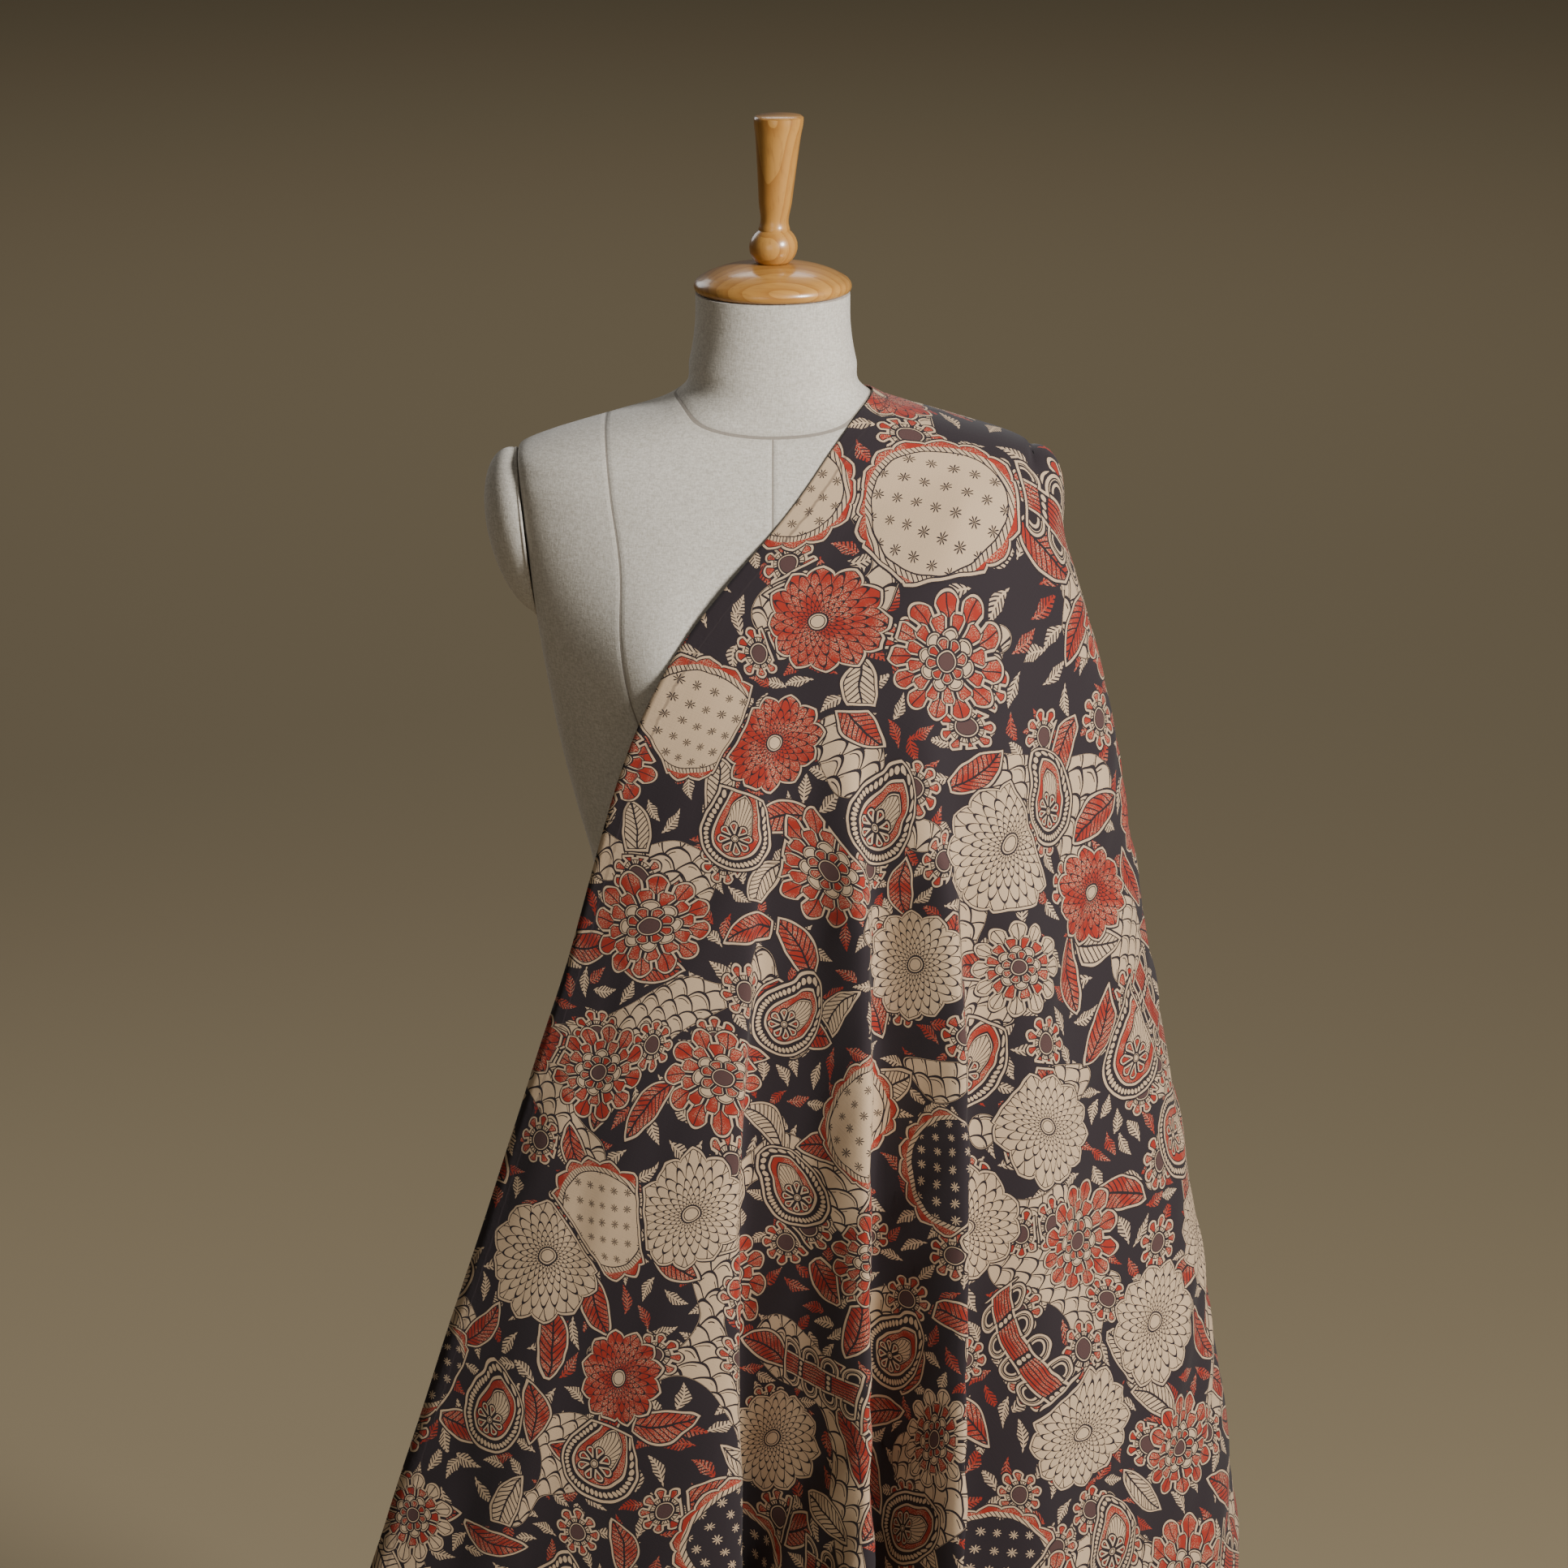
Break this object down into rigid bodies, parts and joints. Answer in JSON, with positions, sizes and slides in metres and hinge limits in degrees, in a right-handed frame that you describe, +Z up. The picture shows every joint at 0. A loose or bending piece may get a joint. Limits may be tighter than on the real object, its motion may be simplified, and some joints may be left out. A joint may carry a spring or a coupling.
{
  "type": "kalamkari fabric on a dress form",
  "caption": "A printed cotton kalamkari cloth draped over one shoulder of a linen dress form with a turned wooden neck cap, standing on a round wooden base.",
  "frame": {"origin": "middle of the base's underside", "axes": "+Z up, -Y towards the front of the form, +X towards the draped shoulder as seen from the front"},
  "size_m": [0.6825, 0.5742, 1.654],
  "materials": {
    "printed_cotton": "matte cotton printed in black, red and cream",
    "linen": "matte natural linen",
    "honey_wood": "varnished, satin"
  },
  "bodies": {
    "root": {"cloth": "printed_cotton", "form_torso": "linen", "arm_cap_left": "linen", "arm_cap_right": "linen", "neck_cap": "honey_wood", "finial": "honey_wood", "pole": "honey_wood", "base": "honey_wood"}
  },
  "joints": []
}
